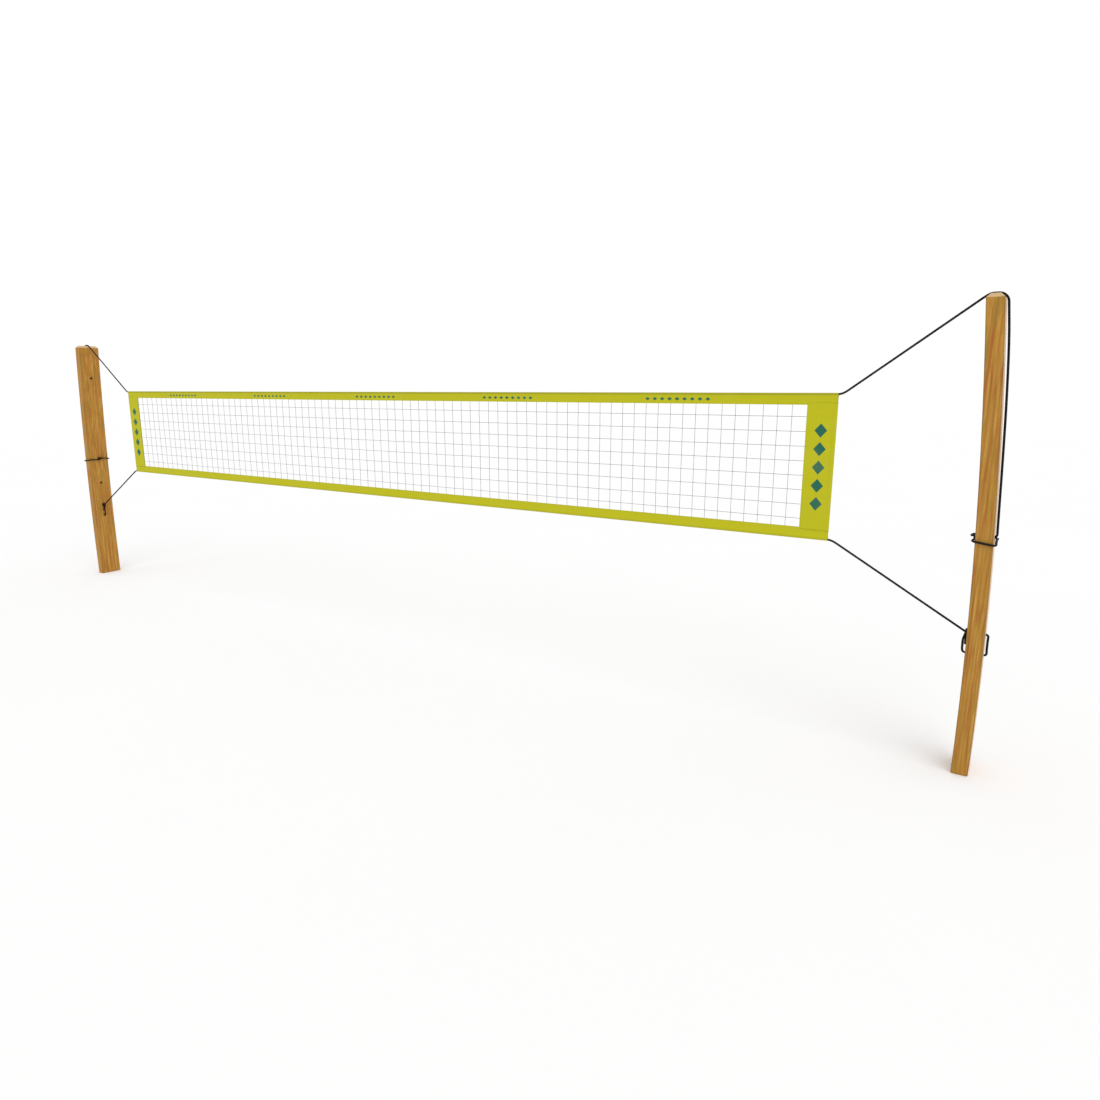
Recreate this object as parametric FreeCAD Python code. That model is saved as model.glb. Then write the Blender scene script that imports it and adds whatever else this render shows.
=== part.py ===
"""A beach volleyball net strung between two bowed timber posts.

Millimetres. X runs along the net, Y away from the side it is looked at from, Z up.
The origin is on the ground, midway between the posts.
"""

import FreeCAD, Part
import math
import os

V = FreeCAD.Vector

# The net
NET_LENGTH = 8500.0
NET_HEIGHT = 1000.0
NET_TOP = 2430.0
BAND_HEIGHT = 80.0
SIDE_BAND_WIDTH = 200.0
BAND_THICKNESS = 1.2
TWINE = 2.5
GAPS_ALONG = 41
GAPS_UP = 4
MESH_IN_BAND = 25.0
BAND_OVERLAP = 15.0
SIDE_FOLD_MARGIN = 2.0

# The posts: the inner face is an arc that is widest apart a little above the ground
POST_WIDTH = 100.0
POST_DEPTH = 240.0
POST_HEIGHT = 3000.0
WIDEST_SPAN = 10312.0
WIDEST_HEIGHT = 500.0
BOW_RADIUS = 28400.0
TOP_CHAMFER = 25.0
ARRIS_CHAMFER = 6.0
HIP_RADIUS = 5.0
RIM_RADIUS = 3.0
FOOT_CHAMFER = 4.0

# Holes bored through the posts along X, by height
HOLE_RADIUS = 12.5
UPPER_SPARE_HOLE = 2594.0
HEAD_HOLE = 1557.0
LOWER_SPARE_HOLE = 1230.0
FOOT_HOLE = 930.0
RETURN_HOLE = 793.0

# The two lines that carry the net
CORD = 14.0
CORD_RADIUS = CORD / 2
CORD_SIDES = 6
TOUCH_GAP = 0.3
HEM_CLEARANCE = 0.4
LOOP_CORNER = 16.5
LOOP_SIDE = 10.0
FACE_RUN_START = 7

# The stiffening rods in the side bands
BATTEN_RADIUS = 4.0
BATTEN_CLEAR_OF_BANDS = 6.0
CAP_WALL = 1.0
CAP_LENGTH = 20.0
CAP_CHAMFER = 1.5
POCKET_CLEARANCE = 0.4

NET_BOTTOM = NET_TOP - NET_HEIGHT
HALF_NET = NET_LENGTH / 2
HALF_DEPTH = POST_DEPTH / 2
BOW_CENTRE = WIDEST_SPAN / 2 - BOW_RADIUS
LEAF_GAP = TWINE / 2 + 0.15
SIDE_LEAF_GAP = LEAF_GAP + BAND_THICKNESS + 0.2
LINE_BORE = CORD_RADIUS + HEM_CLEARANCE
HEAD_LINE_HEIGHT = NET_TOP - BAND_THICKNESS - LINE_BORE
FOOT_LINE_HEIGHT = NET_BOTTOM + BAND_THICKNESS + LINE_BORE
CAP_RADIUS = BATTEN_RADIUS + CAP_WALL
POCKET_BORE = CAP_RADIUS + POCKET_CLEARANCE
BATTEN_X = HALF_NET - BAND_THICKNESS - POCKET_BORE


def face_x(height, radius):
    """Where an arc face of the right post stands at a height above the ground."""
    return BOW_CENTRE + math.sqrt(radius**2 - (height - WIDEST_HEIGHT) ** 2)


def inner_x(height):
    return face_x(height, BOW_RADIUS)


def outer_x(height):
    return face_x(height, BOW_RADIUS + POST_WIDTH)


def export(shape, name):
    """Write one sub-part to its own file."""
    if not shape.isValid():
        raise ValueError(name + " isn't a valid solid")
    shape.exportStep("parts/" + name + ".step")
    print(f"{name}: {len(shape.Solids)} solid(s), {shape.Volume / 1e6:.4f} litres")


def mirrored(shape):
    """The same piece for the left-hand end."""
    return shape.mirror(V(0, 0, 0), V(1, 0, 0))


# Posts


def post_outline():
    """The bowed side outline: two concentric arcs, a level top and a level foot."""
    def corner(face, height):
        return V(face(height), -HALF_DEPTH, height)

    def bow(face, low, high):
        middle = corner(face, (low + high) / 2)
        return Part.Arc(corner(face, low), middle, corner(face, high)).toShape()

    inner_foot, inner_top = corner(inner_x, 0), corner(inner_x, POST_HEIGHT)
    outer_foot, outer_top = corner(outer_x, 0), corner(outer_x, POST_HEIGHT)
    return Part.Wire([
        bow(inner_x, 0, POST_HEIGHT),
        Part.LineSegment(inner_top, outer_top).toShape(),
        bow(outer_x, POST_HEIGHT, 0),
        Part.LineSegment(outer_foot, inner_foot).toShape(),
    ])


def level_edges(shape, height):
    """The edges that lie wholly at one height."""
    return [
        edge for edge in shape.Edges
        if abs(edge.BoundBox.ZMin - height) < 0.01 and abs(edge.BoundBox.ZMax - height) < 0.01
    ]


def rising_edges(shape, shortest, longest):
    """The edges whose rise is between two heights."""
    return [edge for edge in shape.Edges if shortest < edge.BoundBox.ZLength < longest]


def post():
    """One bowed timber, its top bevelled, its arrises taken off, five holes through it."""
    timber = Part.Face(post_outline()).extrude(V(0, POST_DEPTH, 0))
    timber = timber.makeChamfer(TOP_CHAMFER, level_edges(timber, POST_HEIGHT))
    timber = timber.makeChamfer(ARRIS_CHAMFER, rising_edges(timber, POST_HEIGHT / 2, POST_HEIGHT))
    timber = timber.makeFillet(HIP_RADIUS, rising_edges(timber, TOP_CHAMFER / 2, 2 * TOP_CHAMFER))
    timber = timber.makeFillet(RIM_RADIUS, level_edges(timber, POST_HEIGHT))
    timber = timber.makeChamfer(FOOT_CHAMFER, level_edges(timber, 0))
    for height in (UPPER_SPARE_HOLE, HEAD_HOLE, LOWER_SPARE_HOLE, FOOT_HOLE, RETURN_HOLE):
        start = V(inner_x(height) - POST_WIDTH / 2, 0, height)
        timber = timber.cut(Part.makeCylinder(HOLE_RADIUS, 2 * POST_WIDTH, start, V(1, 0, 0)))
    return timber


# Bands


def tangent_point(knee, centre, radius, side):
    """Where a line from the knee touches a circle on the band's middle line."""
    reach = math.hypot(centre - knee[0], knee[1])
    lean = math.atan2(-knee[1], centre - knee[0])
    spread = math.asin(radius / reach)
    along = math.sqrt(reach**2 - radius**2)
    angle = lean + spread
    return knee[0] + along * math.cos(angle), side * (knee[1] + along * math.sin(angle))


def folded_strip(width, leaf_gap, bore, length):
    """A strip folded in two round a line or rod: two flat leaves and a round hem.

    The free edges lie at X = 0 and the fold at X = width. It is extruded along Z.
    """
    centre = width - BAND_THICKNESS - bore
    knee = centre - 4 * bore

    def skin(radius, gap):
        high = tangent_point((knee, gap), centre, radius, 1)
        low = tangent_point((knee, gap), centre, radius, -1)
        round_the_fold = Part.Arc(V(*high, 0), V(centre + radius, 0, 0), V(*low, 0)).toShape()
        points = [V(0, gap, 0), V(knee, gap, 0), V(*high, 0)]
        upper = [Part.LineSegment(a, b).toShape() for a, b in zip(points, points[1:])]
        points = [V(*low, 0), V(knee, -gap, 0), V(0, -gap, 0)]
        lower = [Part.LineSegment(a, b).toShape() for a, b in zip(points, points[1:])]
        closing = Part.LineSegment(V(0, -gap, 0), V(0, gap, 0)).toShape()
        return Part.Face(Part.Wire(upper + [round_the_fold] + lower + [closing]))

    outside = skin(bore + BAND_THICKNESS, leaf_gap + BAND_THICKNESS)
    inside = skin(bore, leaf_gap)
    return outside.cut(inside).extrude(V(0, 0, length))


def placed(shape, matrix):
    """The shape moved and turned as a whole."""
    shape.Placement = FreeCAD.Placement(matrix)
    return shape


def level_band(fold_height, way):
    """A band along the net with its fold at a height, upward or downward from its leaves."""
    length = NET_LENGTH - 2 * SIDE_FOLD_MARGIN
    strip = folded_strip(BAND_HEIGHT, LEAF_GAP, LINE_BORE, length)
    edge_height = fold_height - way * BAND_HEIGHT
    # the strip's width turns to Z and its length to X
    turn = FreeCAD.Matrix(0, 0, 1, -length / 2, 0, -way, 0, 0, way, 0, 0, edge_height)
    return placed(strip, turn)


def side_band():
    """The right-hand band: its leaves lap over the edges of the head and foot bands."""
    length = NET_HEIGHT - 2 * BAND_HEIGHT + 2 * BAND_OVERLAP
    band = folded_strip(SIDE_BAND_WIDTH, SIDE_LEAF_GAP, POCKET_BORE, length)
    band.translate(V(HALF_NET - SIDE_BAND_WIDTH, 0, NET_BOTTOM + BAND_HEIGHT - BAND_OVERLAP))
    return band


# Mesh


def rectangle(x_low, x_high, z_low, z_high):
    corners = [(x_low, z_low), (x_high, z_low), (x_high, z_high), (x_low, z_high), (x_low, z_low)]
    return Part.makePolygon([V(x, -TWINE / 2, z) for x, z in corners])


def mesh():
    """The netting, one flat face with square gaps, its edges sewn into the bands."""
    half = HALF_NET - SIDE_BAND_WIDTH
    low, high = NET_BOTTOM + BAND_HEIGHT, NET_TOP - BAND_HEIGHT
    step_x, step_z = 2 * half / GAPS_ALONG, (high - low) / GAPS_UP
    edge = rectangle(-half - MESH_IN_BAND, half + MESH_IN_BAND, low - MESH_IN_BAND, high + MESH_IN_BAND)
    gaps = []
    for column in range(GAPS_ALONG):
        for row in range(GAPS_UP):
            x, z = -half + column * step_x, low + row * step_z
            gaps.append(rectangle(x + TWINE / 2, x + step_x - TWINE / 2,
                                  z + TWINE / 2, z + step_z - TWINE / 2))
    return Part.makeFace([edge] + gaps, "Part::FaceMakerBullseye").extrude(V(0, TWINE, 0))


# Battens


def batten_length():
    return NET_HEIGHT - 2 * BAND_HEIGHT - 2 * BATTEN_CLEAR_OF_BANDS


def batten():
    """The stiff rod in the right-hand side band's fold."""
    base = V(BATTEN_X, 0, NET_BOTTOM + BAND_HEIGHT + BATTEN_CLEAR_OF_BANDS + CAP_WALL)
    return Part.makeCylinder(BATTEN_RADIUS, batten_length() - 2 * CAP_WALL, base)


def batten_caps():
    """The four bevelled caps that keep the rods from wearing through the bands."""
    low = NET_BOTTOM + BAND_HEIGHT + BATTEN_CLEAR_OF_BANDS
    caps = []
    for end, way in ((low, 1), (low + batten_length(), -1)):
        outside = Part.makeCylinder(CAP_RADIUS, CAP_LENGTH, V(BATTEN_X, 0, end), V(0, 0, way))
        outside = outside.makeChamfer(CAP_CHAMFER, level_edges(outside, end))
        bore_start = V(BATTEN_X, 0, end + way * CAP_WALL)
        bore = Part.makeCylinder(BATTEN_RADIUS, CAP_LENGTH, bore_start, V(0, 0, way))
        caps.append(outside.cut(bore))
    return Part.makeCompound(caps + [mirrored(cap) for cap in caps])


# Lines


def arc_edge(start, corner, end):
    """The arc that leaves start towards corner and reaches end from it."""
    middle = (start + end) * 0.5
    cosine = (middle - start).Length / (corner - start).Length
    return Part.Arc(start, middle + (corner - middle) * (cosine / (1 + cosine)), end).toShape()


def bend_length(before, corner, after, radius):
    """How far from its corner a bend of this radius starts, and the turn in degrees."""
    half_turn = (corner - before).getAngle(after - corner) / 2
    return radius * math.tan(half_turn), math.degrees(2 * half_turn)


def corners_of(route):
    """Each corner of a route with the points before and after it, and its bend's radius."""
    points = [point for point, radius in route]
    return [
        (before, corner, after, radius)
        for before, (corner, radius), after in zip(points, route[1:], points[2:])
    ]


def print_bends(route, label):
    for corner in corners_of(route):
        print(f"  {label}: turns {bend_length(*corner)[1]:.1f} degrees at radius {corner[3]:.0f}")


def bent_path(route):
    """Straight runs joined by tangent arcs. The route is a list of (point, bend radius)."""
    edges, at = [], route[0][0]
    for before, corner, after, radius in corners_of(route):
        back = bend_length(before, corner, after, radius)[0]
        into = corner + (before - corner).normalize() * back
        out = corner + (after - corner).normalize() * back
        edges += [Part.LineSegment(at, into).toShape(), arc_edge(into, corner, out)]
        at = out
    edges.append(Part.LineSegment(at, route[-1][0]).toShape())
    return edges


def head_route():
    """The right-hand end of the head line, from the hem's mouth to its tucked tail."""
    top_inner, top_outer = inner_x(POST_HEIGHT), outer_x(POST_HEIGHT)
    over_top = POST_HEIGHT + CORD_RADIUS + TOUCH_GAP
    inner, outer, hole = inner_x(HEAD_HOLE), outer_x(HEAD_HOLE), HEAD_HOLE
    middle = (inner + outer) / 2
    corner_y, side_y, half_way = HALF_DEPTH + LOOP_CORNER, HALF_DEPTH + LOOP_SIDE, HALF_DEPTH / 2
    return [
        (V(HALF_NET + 10, 0, HEAD_LINE_HEIGHT), 40),
        # over the top of the post
        (V(top_inner + 10.5, 0, POST_HEIGHT + 4.5), 60),
        (V(top_inner + 36, 0, POST_HEIGHT + 10), 60),
        (V(top_outer - 10, 0, over_top), 40),
        (V(top_outer + 18.5, 0, over_top - 24), 40),
        # down the outer face
        (V(5187.5, 0, 2735), 1000),
        (V(5211.3, 0, 2385), 1000),
        (V(5228.0, 0, 2050), 1000),
        (V(5242.0, 0, 1720), 1000),
        (V(outer + 11, 0, hole + 42), 400),
        # in through the hole, and out at the inner face
        (V(outer + 13, 0, hole + 2.5), 18),
        (V(outer - 24, 0, hole - 1), 200),
        (V(inner + 24, 0, hole + 0.5), 200),
        (V(inner - 29, 0, hole), 17.5),
        # once round the post
        (V(inner - 25.5, half_way, hole - 3.5), 400),
        (V(inner - 17.5, corner_y, hole - 9.5), 29),
        (V(middle, side_y, hole - 20), 300),
        (V(outer + 17.5, corner_y, hole - 29), 29),
        (V(outer + 13, half_way, hole - 22), 300),
        (V(outer + 14, 0, hole - 13), 200),
        (V(outer + 13, -half_way, hole - 22), 300),
        (V(outer + 17.5, -corner_y, hole - 32.5), 29),
        (V(middle, -side_y, hole - 24.5), 300),
        (V(inner - 16.5, -corner_y, hole - 14), 29),
        # the end passes under the line where it leaves the hole, and is tucked behind it
        (V(inner - 9.3, -half_way, hole - 15), 200),
        (V(inner - 8.6, -2.5, hole - 20.5), 46),
        (V(inner - 8.2, 25.5, hole - 9.5), 23),
        (V(inner - 9.8, 31.5, hole + 33), 0),
    ]


def foot_route():
    """The right-hand end of the foot line, from the hem's mouth to its tucked tail."""
    inner, outer = inner_x(FOOT_HOLE), outer_x(FOOT_HOLE)
    return [
        (V(HALF_NET + 10, 0, FOOT_LINE_HEIGHT), 40),
        # in at the upper hole and out at the outer face
        (V(inner - 13, 0, FOOT_HOLE + 1), 30),
        (V(inner + 10, 0, FOOT_HOLE + 1), 300),
        (V(outer - 16, 0, FOOT_HOLE), 300),
        (V(outer + 16.3, 0, FOOT_HOLE - 1), 18.5),
        # down the outer face and back in
        (V(outer + 14.5, 0, FOOT_HOLE - 35), 200),
        (V(outer + 15.5, 0, RETURN_HOLE + 32.5), 200),
        (V(outer + 17.5, 0, RETURN_HOLE), 18.5),
        (V(outer - 16, 0, RETURN_HOLE + 1), 300),
        (V(inner + 16, 0, RETURN_HOLE), 300),
        (V(inner - 21, 0, RETURN_HOLE + 1), 18.5),
        # up the inner face and over the line where it goes in
        (V(inner - 23, -2, RETURN_HOLE + 45), 150),
        (V(inner - 24, -6, FOOT_HOLE - 50), 80),
        (V(inner - 14, -16, FOOT_HOLE - 14), 60),
        (V(inner - 9, -15.5, FOOT_HOLE + 17.5), 15),
        (V(inner - 8.5, 15.5, FOOT_HOLE + 17.5), 15),
        # down again, and tucked between the rising stretch and the post
        (V(inner - 8.5, 16, FOOT_HOLE - 14), 40),
        (V(inner - 8.2, 4, FOOT_HOLE - 46), 150),
        (V(inner - 8, -12, FOOT_HOLE - 80), 0),
    ]


def cord_section(centre, way):
    """The cord's outline square to a direction, with flats, its corners on the cord's circle."""
    side = way.cross(V(0, 0, 1)).normalize()
    up = side.cross(way)
    angles = [2 * math.pi * corner / CORD_SIDES for corner in range(CORD_SIDES + 1)]
    return Part.makePolygon([
        centre + (side * math.cos(angle) + up * math.sin(angle)) * CORD_RADIUS for angle in angles
    ])


def tube(edges, label):
    """A cord along a path, its volume set against its section times its length."""
    path = Part.Wire(edges)
    first = path.Edges[0]
    start, way = first.valueAt(first.FirstParameter), first.tangentAt(first.FirstParameter)
    section = cord_section(start, way)
    cord = path.makePipeShell([section], True, False)
    share = cord.Volume / (Part.Face(section).Area * path.Length)
    print(f"  {label}: {path.Length / 1000:.3f} m long, volume {share:.4f} of section x length")
    return cord


def least_gap(edges, label):
    """The least clear distance between stretches of the path that aren't neighbours."""
    path = Part.Wire(edges)
    step = CORD_RADIUS / 2
    points = path.discretize(Distance=step)
    apart = int(3 * CORD / step)
    gap = min(
        (points[i] - points[j]).Length
        for i in range(len(points)) for j in range(i + apart, len(points))
    )
    print(f"  {label}: least gap to itself {gap - CORD:.2f} mm")


def both_ends(route):
    """The whole line: the left-hand end mirrored, the run in the hem, the right-hand end."""
    left = [(V(-point.x, point.y, point.z), radius) for point, radius in reversed(route)]
    return left + route


def head_line():
    """From the tuck at one post, over it, through the head hem and so to the other post."""
    route = head_route()
    print_bends(route, "head line")
    least_gap(bent_path(route[FACE_RUN_START:]), "head line")
    return tube(bent_path(both_ends(route)), "head line")


def foot_line():
    """From the tuck at one post, out and in through it, through the foot hem to the other."""
    route = foot_route()
    print_bends(route, "foot line")
    least_gap(bent_path(route[1:]), "foot line")
    return tube(bent_path(both_ends(route)), "foot line")


def main():
    os.makedirs("parts", exist_ok=True)
    right_post, right_band, right_batten = post(), side_band(), batten()
    export(right_post, "right_post")
    export(mirrored(right_post), "left_post")
    export(mesh(), "net_mesh")
    export(level_band(NET_TOP, 1), "top_band")
    export(level_band(NET_BOTTOM, -1), "bottom_band")
    export(right_band, "right_side_band")
    export(mirrored(right_band), "left_side_band")
    export(right_batten, "right_batten")
    export(mirrored(right_batten), "left_batten")
    export(batten_caps(), "batten_caps")
    export(head_line(), "head_line")
    export(foot_line(), "foot_line")


main()
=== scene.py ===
"""A beach volleyball net on two timber posts, dressed around its fixed frame.

Metres. X runs along the net, Y away from the side it is looked at from, Z up from the ground.
"""

import math

import bmesh
import bpy
from bpy.props import FloatProperty, FloatVectorProperty, IntProperty, PointerProperty
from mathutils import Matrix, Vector, noise


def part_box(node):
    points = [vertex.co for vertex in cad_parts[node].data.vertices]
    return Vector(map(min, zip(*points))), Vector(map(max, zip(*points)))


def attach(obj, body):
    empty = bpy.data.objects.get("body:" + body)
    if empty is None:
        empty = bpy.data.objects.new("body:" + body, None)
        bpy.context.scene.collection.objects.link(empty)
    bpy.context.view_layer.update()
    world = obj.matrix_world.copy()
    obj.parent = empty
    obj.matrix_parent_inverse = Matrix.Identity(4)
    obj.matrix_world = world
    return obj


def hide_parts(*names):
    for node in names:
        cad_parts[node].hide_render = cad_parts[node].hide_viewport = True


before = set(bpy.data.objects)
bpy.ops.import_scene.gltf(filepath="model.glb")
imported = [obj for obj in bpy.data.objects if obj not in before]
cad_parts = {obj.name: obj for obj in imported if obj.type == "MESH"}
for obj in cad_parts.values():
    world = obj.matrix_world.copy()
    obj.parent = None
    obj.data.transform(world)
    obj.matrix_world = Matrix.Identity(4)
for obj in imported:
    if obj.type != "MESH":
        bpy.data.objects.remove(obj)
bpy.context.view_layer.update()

bl_info = {
    "name": "Beach Volleyball Net",
    "version": (1, 0, 0),
    "blender": (4, 5, 0),
    "location": "View3D > Sidebar > Beach Net",
    "description": "Dresses a beach net: timber posts, hemmed bands, knotted netting and ropes",
    "category": "Object",
}

BODY = "root"

# The net's outline, from the frame
NET_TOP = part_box("top_band")[1].z
NET_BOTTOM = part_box("bottom_band")[0].z
HALF_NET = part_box("right_side_band")[1].x
BAND_HEIGHT = NET_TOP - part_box("top_band")[0].z
SIDE_WIDTH = HALF_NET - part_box("right_side_band")[0].x
BAND_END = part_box("top_band")[1].x
SIDE_LOW, SIDE_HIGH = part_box("right_side_band")[0].z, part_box("right_side_band")[1].z
NET_INSIDE = HALF_NET - SIDE_WIDTH

# The posts, as the frame has them: both faces are arcs about one centre
POST_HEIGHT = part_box("right_post")[1].z
POST_HALF_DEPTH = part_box("right_post")[1].y
BOW_CENTRE = -23.244
BOW_RADIUS = 28.4
POST_THICKNESS = 0.1
WIDEST_HEIGHT = 0.5
HEAD_HOLE, FOOT_HOLE, RETURN_HOLE = 1.557, 0.93, 0.793
HOLES = (2.594, HEAD_HOLE, 1.23, FOOT_HOLE, RETURN_HOLE)
HOLE_RADIUS = 0.0125
HOLE_RIM = 0.022

# How the cloth is folded, between its layers' middle lines
LEAF_GAP = 0.002
SIDE_LEAF_GAP = 0.0034
HEM_RADIUS = 0.008
POCKET_RADIUS = 0.006
HEAD_LINE_HEIGHT = 2.4214
FOOT_LINE_HEIGHT = 1.4386

# The ropes, and their loops round the posts
ROPE = 0.014
LOOP_CORNER = 0.0165
LOOP_SIDE = 0.01
MOUTH_REACH = 0.022
WHIPPING_START, WHIPPING_LENGTH = 0.004, 0.02
WHIPPING_TURN, WHIPPING_STEP = 0.0011, 0.00028

# How the bands are sewn and the netting is caught in them
LEVEL_SEAMS, SIDE_SEAMS = (0.006, 0.059), (0.006, 0.17)
TWINE_TUCK = 0.02
CELL_HIDDEN = 0.04
TWINE_SLACK, TWINE_OFFSET = 0.0005, 0.0004

# The printed lozenges: columns on the side bands, short rows of beads on the top band
COLUMN_PITCH, COLUMN_REACH = 0.125, 0.32
COLUMN_LOZENGE = (0.048, 0.042)
ROW_PITCH, ROW_REACH, ROW_DROP = 1.55, 0.27, 0.046
BEAD_PITCH, BEAD_LOZENGE = 0.06, (0.02, 0.013)
ROWS_REACH = 3.6

# The photograph's view and its soft light
CAMERA_PLACE = (5.3806, -5.3694, 2.4509)
CAMERA_TURN = (90 - 11.919, 0, 32.335)
CAMERA_LENS, CAMERA_SENSOR = 24.87, 36.0
LAMP_FROM, LAMP_WIDTH = (0.9, -0.75, 1.25), 50


def srgb(red, green, blue):
    """A linear colour from the 0 to 255 numbers that a picture shows."""
    def linear(value):
        value /= 255
        return value / 12.92 if value <= 0.04045 else ((value + 0.055) / 1.055) ** 2.4
    return (linear(red), linear(green), linear(blue))


def colour_property(name, description, colour):
    return FloatVectorProperty(
        name=name, description=description, subtype="COLOR", size=3, min=0, max=1, default=colour)


def length_property(name, description, metres):
    return FloatProperty(
        name=name, description=description, subtype="DISTANCE", unit="LENGTH", default=metres)


# Shades of each finish that no user would change
# streaks in the painted light of the posts' outer faces
OUTER_LIGHT_STREAK = srgb(206, 160, 118)
# painted shade on the posts' arrises
SHADED_ARRIS = srgb(112, 88, 40)
# darker wood about the holes' mouths
HOLE_MOUTH_DARK = srgb(110, 66, 26)
# painted shade inside the holes
HOLE_INSIDE_SHADE = srgb(128, 62, 26)
TIMBER_DUST = srgb(190, 148, 74)
CLOTH_SHADE = srgb(180, 180, 24)
CLOTH_GAP = srgb(120, 120, 20)
CLOTH_DUST = srgb(196, 192, 90)
STRAND_DUST = srgb(104, 100, 90)
ROD_PALE = srgb(222, 218, 200)
ROD_DARK = srgb(196, 190, 168)
CAP_BLACK = srgb(40, 40, 41)
CAP_DUST = srgb(110, 106, 98)


# What a user would change


class TimberLooks(bpy.types.PropertyGroup):
    """The oiled timber of the posts."""
    honey: colour_property("Honey", "The timber's main colour", srgb(179, 129, 46))
    pale: colour_property("Pale", "The light streaks", srgb(203, 154, 72))
    brown: colour_property("Brown", "The late growth between them", srgb(142, 86, 24))
    red: colour_property("Red", "The warm flecks", srgb(168, 94, 38))
    olive: colour_property("Olive", "The cool flecks", srgb(153, 122, 38))
    # painted light: the pale colour given to the bow's outer face
    outer_face_light: colour_property("Sapwood", "The pale wood on the outside of the bow", srgb(232, 204, 182))
    # end grain of the top and bevels, made paler as painted light from above
    end_grain_and_light: colour_property("End grain", "The sawn and bevelled top", srgb(212, 182, 140))
    ring_width: length_property("Ring width", "From one growth ring to the next", 0.011)


class BandLooks(bpy.types.PropertyGroup):
    """The folded bands round the netting."""
    cloth: colour_property("Cloth", "The coated cloth", srgb(190, 187, 24))
    # painted shade along the hems, where the cloth goes round a line
    fold: colour_property("Fold", "The cloth where it is folded round a line", srgb(164, 161, 30))
    print_ink: colour_property("Print", "The lozenges printed on the bands", srgb(22, 100, 84))
    thread: colour_property("Thread", "The sewing thread", srgb(168, 166, 40))
    thickness: length_property("Thickness", "One layer of cloth", 0.0012)
    stitch: length_property("Stitch", "From one stitch to the next", 0.008)
    pucker: length_property("Pucker", "How far the cloth is drawn in along a seam", 0.0005)
    step: length_property("Step", "The spacing of the mesh along a band", 0.014)


class NettingLooks(bpy.types.PropertyGroup):
    """The knotted netting."""
    twine: colour_property("Twine", "The netting's twine", srgb(52, 52, 56))
    thickness: length_property("Thickness", "The twine's diameter", 0.0026)
    cell: length_property("Cell", "From one knot to the next", 0.1)
    belly: length_property("Belly", "How far the netting sways out of its plane", 0.006)
    knot_drift: length_property("Knot drift", "How far a knot sits from its even place", 0.0014)


class RopeLooks(bpy.types.PropertyGroup):
    """The braided ropes."""
    colour: colour_property("Colour", "The braid", srgb(13, 13, 14))
    whipping: colour_property("Whipping", "The binding at the ends", srgb(10, 10, 11))
    diameter: length_property("Diameter", "The rope's diameter", ROPE)
    plait: length_property("Plait", "From one plait of the braid to the next, along the rope", 0.0105)
    plaits: IntProperty(name="Plaits", description="Plaits round the rope, each way", default=6, min=2)
    relief: FloatProperty(
        name="Relief", description="Depth of the braid as a share of the radius", default=0.07)


class StageLooks(bpy.types.PropertyGroup):
    """The floor and the light."""
    floor: colour_property("Floor", "The floor's colour", (0.99, 0.99, 0.99))
    sky: FloatProperty(name="Sky", description="Strength of the even light", default=0.85)
    sun: FloatProperty(name="Sun", description="Strength of the soft lamp", default=0.68)


# Meshes


class Shape:
    """Points, faces and texture coordinates, gathered for one mesh."""

    def __init__(self):
        self.points, self.faces, self.places = [], [], []

    def sweep(self, rings, along):
        """Joins closed rings of equally many points by quads. Along gives each ring's V."""
        base, count = len(self.points), len(rings[0])
        for ring in rings:
            self.points.extend(ring)
        for row in range(len(rings) - 1):
            low, high = along[row], along[row + 1]
            start = base + row * count
            for column in range(count):
                after = (column + 1) % count
                left, right = column / count, (column + 1) / count
                self.faces.append((
                    start + column, start + after, start + count + after, start + count + column))
                self.places += [(left, low), (right, low), (right, high), (left, high)]
        return base

    def dome(self, first, count, tip, height):
        """Closes a ring, given by its first point's number and its count, with a fan to a tip."""
        self.points.append(tip)
        top = len(self.points) - 1
        for column in range(count):
            after = (column + 1) % count
            self.faces.append((first + column, first + after, top))
            self.places += [(column / count, height), ((column + 1) / count, height), (0.5, height)]

    def piece(self, name, material, slot):
        """The finished object, which rides on the part."""
        mesh = bpy.data.meshes.new(name)
        mesh.from_pydata([tuple(point) for point in self.points], [], self.faces)
        layer = mesh.uv_layers.new(name="UVMap")
        layer.data.foreach_set("uv", [value for place in self.places for value in place])
        shell = bmesh.new()
        shell.from_mesh(mesh)
        bmesh.ops.recalc_face_normals(shell, faces=shell.faces)
        shell.to_mesh(mesh)
        shell.free()
        mesh.shade_smooth()
        mesh.materials.append(material)
        made = bpy.data.objects.new(name, mesh)
        bpy.context.scene.collection.objects.link(made)
        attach(made, BODY)
        return made


def lengths_along(line):
    """The distance from the line's start to each of its points."""
    total, run = 0.0, [0.0]
    for before, after in zip(line, line[1:]):
        total += (after - before).length
        run.append(total)
    return run


def stations(line, step_at):
    """Points and distances along a line, a step apart that depends on where they are."""
    run = lengths_along(line)
    places, distances, segment, at = [], [], 0, 0.0
    while at < run[-1]:
        while run[segment + 1] < at:
            segment += 1
        share = (at - run[segment]) / max(run[segment + 1] - run[segment], 1e-9)
        place = line[segment].lerp(line[segment + 1], share)
        places.append(place)
        distances.append(at)
        at += step_at(place)
    if run[-1] - distances[-1] < 0.5 * step_at(line[-1]):
        places, distances = places[:-1], distances[:-1]
    return places + [line[-1]], distances + [run[-1]]


def carried_frames(line):
    """At each point, two directions square to the line that don't twist along it."""
    ways = [(after - before).normalized() for before, after in zip(line, line[1:])]
    ways.append(ways[-1])
    side = ways[0].orthogonal().normalized()
    frames = []
    for before, way in zip([ways[0]] + ways, ways):
        side = before.rotation_difference(way) @ side
        side = (side - way * side.dot(way)).normalized()
        frames.append((side, way.cross(side)))
    return frames


def angles_round(count):
    """Evenly spaced angles of a full turn."""
    return [math.tau * step / count for step in range(count)]


def turned(first, second, angle):
    """The direction at an angle from the first of two that are square to each other."""
    return first * math.cos(angle) + second * math.sin(angle)


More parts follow.
